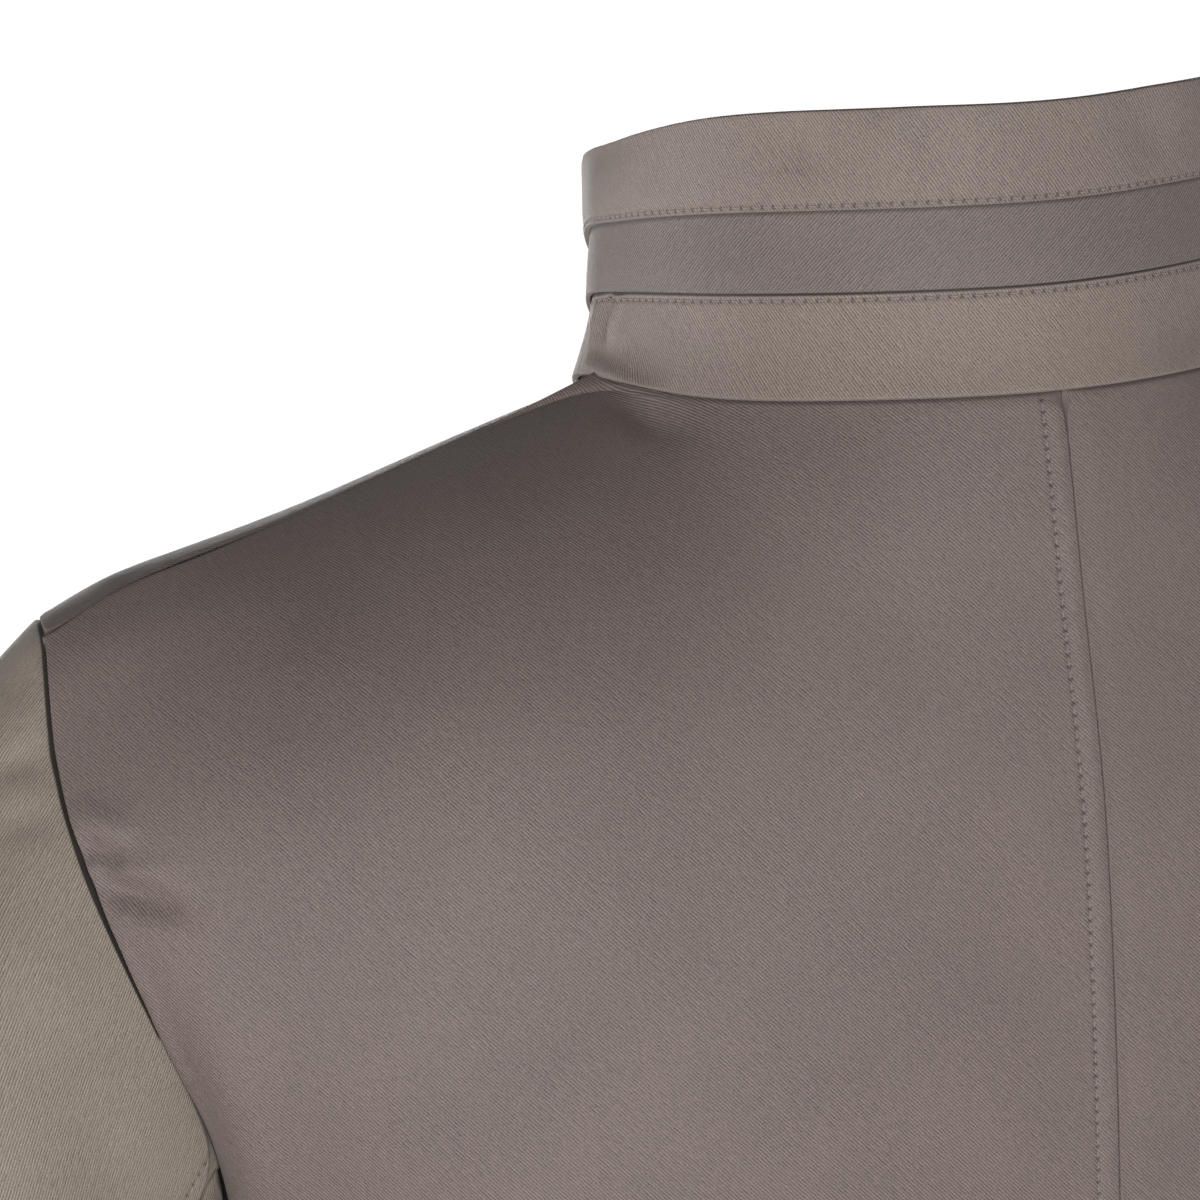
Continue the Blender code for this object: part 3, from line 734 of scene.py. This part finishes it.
def twill(name, colour, angle, edge):
    """Cloth of this colour, its weave at this angle, with this shade under the edges that lie on it."""
    material = bpy.data.materials.new(name)
    material.use_nodes = True
    tree = material.node_tree
    shader = tree.nodes["Principled BSDF"]
    shader.inputs["Roughness"].default_value = 0.50
    shader.inputs["Specular IOR Level"].default_value = 0.30
    shader.inputs["Sheen Weight"].default_value = 0.10
    shader.inputs["Sheen Roughness"].default_value = 0.45
    weave, grain = twill_lines(tree, angle)
    groove, hole = sewn_marks(tree)
    patches = noise(tree, grain, PATCH_SCALE, 3.0)
    shade = add(tree, "ShaderNodeMix", data_type="RGBA")
    shade.inputs["A"].default_value = (*[tint * part for tint, part in zip(DARK_TINT, colour)], 1)
    shade.inputs["B"].default_value = (*[tint * part for tint, part in zip(LIGHT_TINT, colour)], 1)
    tone = maths(tree, "MULTIPLY_ADD", maths(tree, "SUBTRACT", patches, 0.5), PATCH_SHARE, weave)
    tree.links.new(tone, shade.inputs["Factor"])
    # Painted shade: the needle holes and the cloth under lapped edges are mixed towards a much darker tone of
    # the same colour.
    dark = add(tree, "ShaderNodeMix", data_type="RGBA")
    dark.inputs["B"].default_value = (*[SHADED_TONE * part for part in colour], 1)
    tree.links.new(shade.outputs["Result"], dark.inputs["A"])
    hole_shade = maths(tree, "MULTIPLY", hole, HOLE_SHADE)
    tree.links.new(maths(tree, "MAXIMUM", hole_shade, edge_shade(tree, *edge)), dark.inputs["Factor"])
    tree.links.new(dark.outputs["Result"], shader.inputs["Base Color"])
    fine = add(tree, "ShaderNodeBump")
    fine.inputs["Strength"].default_value = 0.8
    fine.inputs["Distance"].default_value = WEAVE_RELIEF
    tree.links.new(weave, fine.inputs["Height"])
    sewn = add(tree, "ShaderNodeBump", invert=True)
    sewn.inputs["Strength"].default_value = 0.7
    sewn.inputs["Distance"].default_value = SEWN_RELIEF
    depth = maths(tree, "MULTIPLY_ADD", hole, HOLE_DEPTH, groove)
    tree.links.new(depth, sewn.inputs["Height"])
    tree.links.new(fine.outputs[0], sewn.inputs["Normal"])
    tree.links.new(sewn.outputs[0], shader.inputs["Normal"])
    return material


# %% Build the thread
PLY_SCALE, PLY_RELIEF = 4000.0, 0.05 * MM


def thread_material(name, colour):
    """Twisted thread, with its plies as a fine slanted bump."""
    material = bpy.data.materials.new(name)
    material.use_nodes = True
    tree = material.node_tree
    shader = tree.nodes["Principled BSDF"]
    shader.inputs["Base Color"].default_value = (*colour, 1)
    shader.inputs["Roughness"].default_value = 0.45
    shader.inputs["Sheen Weight"].default_value = 0.2
    place = add(tree, "ShaderNodeTexCoord").outputs["Object"]
    plies = add(tree, "ShaderNodeBump")
    plies.inputs["Strength"].default_value = 0.5
    plies.inputs["Distance"].default_value = PLY_RELIEF
    tree.links.new(noise(tree, place, PLY_SCALE, 1.0), plies.inputs["Height"])
    tree.links.new(plies.outputs[0], shader.inputs["Normal"])
    return material


# %% [markdown]
# ## The table of pieces
#
# What differs from piece to piece is in one table: where its outer face looks, which way the lengthwise
# threads run, how often it is refined, how deep its border turns in and how thick its wall is, in
# millimetres, its weave's angle and its slot. The parts near the camera are refined once more than the rest.

# %% Say how each piece is cut
BODY_WEAVE, SLEEVE_WEAVE, BAND_WEAVE, STRAP_WEAVE = 134, 97, 122, 40
PIECES = {
    # node: (outer face looks, lengthwise threads run, refined, turned in, wall, weave angle, slot)
    "back_left": ((0, 1, 0), (0, 0, 1), 3, 2.4, 1.1, BODY_WEAVE, "body_twill"),
    "back_right": ((0, 1, 0), (0, 0, 1), 3, 2.4, 1.1, BODY_WEAVE, "body_twill"),
    "front_left": ((0, -1, 0), (0, 0, 1), 2, 2.4, 1.1, BODY_WEAVE, "body_twill"),
    "front_right": ((0, -1, 0), (0, 0, 1), 2, 2.4, 1.1, BODY_WEAVE, "body_twill"),
    "sleeve_left_upper": ((1, 0, 0), (-0.3, 0, 1), 3, 2.4, 1.1, SLEEVE_WEAVE, "sleeve_twill"),
    "sleeve_left_under": ((-1, 0, 0), (-0.3, 0, 1), 2, 2.4, 1.1, SLEEVE_WEAVE, "sleeve_twill"),
    "sleeve_right_upper": ((-1, 0, 0), (0.3, 0, 1), 2, 2.4, 1.1, SLEEVE_WEAVE, "sleeve_twill"),
    "sleeve_right_under": ((1, 0, 0), (0.3, 0, 1), 2, 2.4, 1.1, SLEEVE_WEAVE, "sleeve_twill"),
    "collar_lower": ((0, 1, 0), (0, 0, 1), 3, 1.4, 1.1, BAND_WEAVE, "collar_twill"),
    "collar_strap": ((0, 1, 0), (0, 0, 1), 3, 1.1, 1.0, STRAP_WEAVE, "collar_twill"),
    "collar_upper": ((0, 1, 0), (0, 0, 1), 3, 1.4, 1.1, BAND_WEAVE, "collar_twill"),
}
print("pieces to cut:", len(PIECES))

# %% [markdown]
# ## What carries each piece
#
# The panels and sleeves hang from the collar and shoulders. The collar's bands are sewn round the neck on the
# layer below them.

# %% [markdown]
# ## Where the creases are
#
# On the back they fan out from the armhole, where the sleeve pulls. The collar has a few upright dents from
# handling, and its left end buckles where the neck turns. The sleeves crease at the head and inside the
# elbow. The sides that the photograph does not show get similar ones, none an exact mirror of another.

# %% Chart the creases
# Each is its depth and width, then its path, in millimetres. A negative depth is a ridge.
CREASES = {
    "back_left": [
        (-1.5, 4.0, (206, 30, -68), (200, 35, -71), (192, 40, -74)),
        (2.3, 2.8, (208, 32, -75), (201, 37, -76), (195, 41, -78)),
        (-1.0, 3.0, (206, 34, -78), (198, 40, -80), (188, 46, -80)),
        (3.2, 3.2, (206, 34, -81), (198, 40, -84), (185, 48, -88)),
        (-1.0, 2.2, (198, 39, -92), (191, 41, -108), (187, 41, -119), (175, 42, -151)),
        (0.9, 4.0, (73, 8, 1), (72, 26, -2), (65, 41, -4)),
        (1.6, 16, (150, 35, -395), (110, 70, -415), (60, 80, -410)),
        (1.2, 13, (145, 30, -445), (105, 75, -455), (75, 85, -440)),
        (-1.0, 15, (150, 40, -370), (120, 70, -360), (80, 85, -375)),
        (1.0, 18, (30, 100, -300), (35, 85, -400), (40, 95, -500)),
    ],
    "back_right": [
        (-0.8, 5.0, (-204, 31, -66), (-198, 36, -70), (-190, 42, -72)),
        (1.1, 3.4, (-205, 34, -79), (-198, 38, -82), (-190, 43, -85)),
        (-0.7, 4.5, (-203, 37, -88), (-194, 43, -92), (-184, 48, -99)),
        (0.7, 4.0, (-73, 10, 1), (-71, 30, -2), (-62, 44, -4)),
        (1.4, 15, (-150, 35, -410), (-105, 72, -405), (-70, 80, -420)),
        (1.3, 14, (-148, 30, -375), (-115, 70, -385), (-65, 82, -380)),
        (-0.9, 16, (-150, 40, -440), (-120, 75, -450), (-70, 88, -455)),
    ],
    "front_left": [
        (1.2, 5.0, (160, -64, -118), (150, -78, -124), (138, -92, -136)),
        (-0.9, 6.0, (164, -62, -104), (152, -76, -108), (138, -90, -116)),
        (1.5, 15, (148, -40, -400), (115, -85, -412), (65, -105, -405)),
        (1.2, 14, (150, -35, -440), (120, -80, -452), (85, -105, -445)),
        (-1.0, 16, (152, -45, -365), (118, -90, -372), (80, -115, -360)),
    ],
    "front_right": [
        (1.1, 5.5, (-160, -64, -122), (-149, -79, -130), (-136, -93, -145)),
        (-0.9, 6.0, (-163, -62, -106), (-150, -78, -111), (-139, -90, -112)),
        (1.6, 16, (-148, -40, -390), (-112, -88, -404), (-60, -107, -412)),
        (1.0, 14, (-150, -35, -435), (-115, -85, -440), (-88, -108, -452)),
    ],
    "sleeve_left_upper": [
        (0.6, 6.0, (216, 10, -50), (207, 13, -44), (203, 14, -42)),
        (0.5, 7.0, (214, 22, -62), (207, 23, -55), (204, 23, -53)),
        (1.1, 3.2, (219, 16, -64), (211, 24, -59), (206, 27, -57)),
        (0.9, 3.5, (218, 20, -76), (211, 28, -71), (206, 30, -68)),
        (-0.6, 8.0, (222, 30, -90), (212, 38, -100), (204, 42, -112)),
        (0.9, 9.0, (206, 44, -122), (202, 46, -142), (199, 45, -165)),
        (1.8, 10, (322, 20, -388), (300, 48, -396), (268, 54, -392)),
        (1.5, 9.0, (322, 25, -352), (298, 55, -350), (262, 58, -358)),
        (-1.2, 10, (325, 10, -370), (305, 45, -374), (275, 55, -372)),
        (1.6, 11, (330, 0, -432), (318, 35, -440), (285, 45, -448)),
    ],
    "sleeve_right_upper": [
        (0.7, 7.0, (-214, 12, -48), (-206, 14, -44), (-203, 14, -42)),
        (-0.7, 8.0, (-224, 30, -92), (-213, 38, -104), (-205, 42, -116)),
        (1.9, 11, (-322, 22, -380), (-298, 50, -392), (-266, 55, -396)),
        (1.3, 9.0, (-324, 20, -345), (-300, 54, -340), (-264, 58, -350)),
        (1.5, 11, (-330, 5, -425), (-316, 36, -436), (-284, 46, -440)),
    ],
    "sleeve_left_under": [(1.4, 10, (250, 20, -330), (228, -5, -336), (240, -38, -345))],
    "sleeve_right_under": [(1.4, 10, (-248, 22, -338), (-229, -5, -340), (-240, -36, -334))],
    "collar_lower": [
        (-0.8, 2.6, (68, -12, 20), (70, -11, 12), (72, -9, 7)),
        (1.4, 2.4, (69, -5, 22), (70, -4, 13), (71, -3, 9)),
        (-1.0, 2.0, (69, 3, 22), (70, 1, 15), (71, -1, 10)),
        (0.7, 3.0, (71, -8, 9), (72, 0, 9), (71, 12, 10)),
        (0.9, 5.0, (70, 8, 16), (70, 15, 11), (69, 24, 4)),
        (-1.2, 2.0, (71, -14, 4), (73, -4, 5), (73, 6, 5), (71, 17, 4), (69, 25, 4)),
        (0.5, 9.0, (-30, 65, 20), (-35, 63, 7)),
        (-0.8, 3.5, (-69, -8, 20), (-71, -6, 12), (-72, -12, 3)),
        (0.7, 5.0, (-70, 8, 17), (-70, 16, 9), (-68, 26, 4)),
    ],
    "collar_strap": [
        (0.4, 9.0, (50, 49, 44), (47, 53, 24)),
        (0.35, 10, (-20, 67, 46), (-24, 66, 24)),
    ],
    "collar_upper": [
        (1.4, 5.0, (68, -26, 50), (71, -8, 56), (70, 12, 62)),
        (1.2, 5.0, (51, 49, 68), (49, 51, 58), (48, 52, 50)),
        (-0.9, 5.0, (34, 62, 68), (31, 63, 48)),
        (0.8, 5.5, (26, 66, 68), (22, 67, 46)),
        (1.2, 7.0, (-19, 69, 68), (-31, 64, 46)),
        (0.5, 7.0, (-60, 38, 66), (-62, 34, 44)),
        (0.5, 7.0, (68, -20, 50), (68, -22, 30)),
        (-0.5, 9.0, (20, -68, 18), (24, -67, -4)),
    ],
}
print("creases:", sum(len(creases) for creases in CREASES.values()))

# %% [markdown]
# ## Cut, unwrap and press every piece
#
# The steps are the same for each piece, so one loop runs them. The order matters: the map is laid on the
# coarse sheet, where unwrapping is quick and true, and the creases come after the refining, which would
# smooth them.

# %% Make the sheets
SEAM_SPREAD = 0.45 * MM

cloths, edges = {}, {}
for node, (facing, grain, refined, turned_in, *_) in PIECES.items():
    cloth = outer_sheet(node, facing)
    edges[node] = sides_of(cloth)
    remember_ways(cloth)
    lay_grain(cloth, grain)
    turn_border_in(cloth, turned_in * MM, 0.0 if node.startswith("collar") else SEAM_SPREAD)
    refine(cloth, refined)
    press_creases(cloth, CREASES[node])
    cloths[node] = cloth
    print(node, "sides:", len(edges[node]))

# %% [markdown]
# ## Raised and drawn-in edges
#
# At the centre back the seam allowances are pressed to the wearer's left and stitched there. So the cloth
# between the seam and the stitches stands a little proud, and the other side lies lower. The lower edges of
# the collar's two outer bands are drawn in, and lie close on what is below them.

# %% Shape the edges
def shape_beside(node, distance, height, width, rank, shortest=0.1):
    """Raises or lowers the cloth of a piece along the side that ranks highest. Sizes in millimetres."""
    row = sewing_row(cloths[node], pick_side(node, rank, shortest), distance * MM)
    raise_strip(cloths[node], row, height * MM, width * MM)
    print(node, "raised" if height > 0 else "lowered", abs(height), "mm beside its edge")


shape_beside("back_left", 2.0, 0.55, 2.2, lambda place: -abs(place[0]))
shape_beside("back_right", 1.0, -0.45, 3.2, lambda place: -abs(place[0]))
shape_beside("collar_upper", 0.2, -0.45, 3.5, lambda place: -place[2], shortest=0.3)
shape_beside("collar_strap", 0.2, -0.3, 3.5, lambda place: -place[2], shortest=0.3)

# %% [markdown]
# ## Which edges are stitched
#
# The photograph shows stitches left of the centre back seam, along the upper band's lower edge, just below
# the strap, and along the hind seam of the left sleeve. The right sleeve gets the same, and the hems, cuffs
# and front edge, which lie outside the picture, are stitched as on any jacket.

# %% Choose the sewn rows
def sew_beside(node, distance, rank, shortest=0.1):
    """Adds a row of sewing to a piece, at this distance in millimetres from the side that ranks highest."""
    rows[node].append(sewing_row(cloths[node], pick_side(node, rank, shortest), distance * MM))


rows = {node: [] for node in PIECES}
sew_beside("back_left", 4.8, lambda place: -abs(place[0]))
sew_beside("collar_upper", 1.1, lambda place: -place[2], shortest=0.3)
strap_edge = pick_side("collar_strap", lambda place: -place[2], 0.3)
rows["collar_lower"].append(sewing_row(cloths["collar_lower"], strap_edge, -1.5 * MM))
for node in ("back_left", "back_right", "front_left", "front_right"):
    sew_beside(node, 18, lambda place: -place[2])
sew_beside("front_right", 6, lambda place: place[0], shortest=0.3)
for node in ("sleeve_left_upper", "sleeve_right_upper"):
    sew_beside(node, 4.2, lambda place: place[1], shortest=0.3)
    sew_beside(node, 18, lambda place: -place[2])
for node in ("sleeve_left_under", "sleeve_right_under"):
    sew_beside(node, 18, lambda place: -place[2], shortest=0.05)
print("sewn rows:", {node: len(lines) for node, lines in rows.items()})

# %% [markdown]
# ## Where one layer ends on another
#
# Under the edge of a lapped band or panel the cloth below is in its shade, as a narrow dark line from every
# side. Each covered piece keeps how far it is from the edges that lie on it, and the material darkens it
# there. At the armhole this ends where the seam begins to lie flat, low on the shoulder blade.

# %% Find the edges that lie on each piece
CLOSE_BY, NO_LIMIT, LOWEST_DEEP_SEAM = 6 * MM, -1.0, -112 * MM


def lay_edge(covered, node, rank, shortest=0.1, lowest=NO_LIMIT):
    """Remembers that this side of a piece lies on another one, as far as it does, and no lower than this."""
    line, out = pick_side(node, rank, shortest)
    surface = surface_of(cloths[covered])
    touching = [surface.find_nearest(Vector(place))[3] < CLOSE_BY and place[2] > lowest for place in line]
    runs = np.split(np.arange(len(line)), np.flatnonzero(np.diff(touching)) + 1)
    longest = max((run for run in runs if touching[run[0]]), key=len)
    covers[covered].append(sewing_row(cloths[covered], (line[longest], out[longest]), 0.0))


covers = {node: [] for node in PIECES}
lay_edge("collar_strap", "collar_upper", lambda place: -place[2], 0.3)
lay_edge("collar_lower", "collar_strap", lambda place: -place[2], 0.3)
lay_edge("front_left", "front_right", lambda place: place[0], 0.3)
for half in ("left", "right"):
    lay_edge(f"back_{half}", "collar_lower", lambda place: -place[2], 0.3)
    lay_edge(f"front_{half}", "collar_lower", lambda place: -place[2], 0.3)
    lay_edge(f"sleeve_{half}_upper", f"back_{half}", lambda place: abs(place[0]), 0.15, LOWEST_DEEP_SEAM)
    lay_edge(f"sleeve_{half}_upper", f"front_{half}", lambda place: abs(place[0]), 0.15, LOWEST_DEEP_SEAM)
    lay_edge(f"sleeve_{half}_under", f"sleeve_{half}_upper", lambda place: place[1], 0.3)
print("edges that lie on a piece:", {node: len(lines) for node, lines in covers.items()})

# %% [markdown]
# ## From sheets to a sewn jacket
#
# Each sheet now gets its wall and its twill, and stands for its solid. The stitches are pieces of their own,
# because thread shines differently from cloth. Each sheet is also attached to the body that carries it. A
# deep edge shades a narrower and darker line than a flat lap does.

# %% Finish every piece
# Each part's taupe is lighter or darker as light and the satin's sheen fall on it: painted light over one
# cloth. The thread's is its own colour.
TAUPES_WITH_PAINTED_LIGHT = {
    "body": (0.197, 0.157, 0.146),
    "sleeve": (0.274, 0.234, 0.199),
    "collar_lower": (0.258, 0.210, 0.189),
    "collar_strap": (0.188, 0.156, 0.145),
    "collar_upper": (0.230, 0.187, 0.169),
    "thread": (0.245, 0.202, 0.184),
}
# Where the shade ends and where it is full, in millimetres from the edge, and how strong it is.
LAPPED_EDGE, DEEP_EDGE = (1.1, 0.05, 0.6), (0.85, 0.35, 0.96)
DEEP_UNDER = ("collar_lower", "sleeve_left_upper", "sleeve_right_upper")

thread = thread_material("taupe_thread", TAUPES_WITH_PAINTED_LIGHT["thread"])
for node, (*_, wall, weave_angle, slot) in PIECES.items():
    cloth = cloths[node]
    remember_rows(cloth, "row", rows[node])
    remember_rows(cloth, "edge", covers[node])
    give_wall(cloth, wall * MM)
    colour = TAUPES_WITH_PAINTED_LIGHT.get(node) or TAUPES_WITH_PAINTED_LIGHT[slot.removesuffix("_twill")]
    edge = DEEP_EDGE if node in DEEP_UNDER else LAPPED_EDGE
    cloth.data.materials.append(twill(f"{node}_twill", colour, weave_angle, edge))
    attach(cloth, "root")
    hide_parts(node)
    if rows[node]:
        stitches = sew(node + "_stitches", rows[node])
        stitches.data.materials.append(thread)
        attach(stitches, "root")
    print(node, "cloth:", len(cloth.data.polygons), "faces")
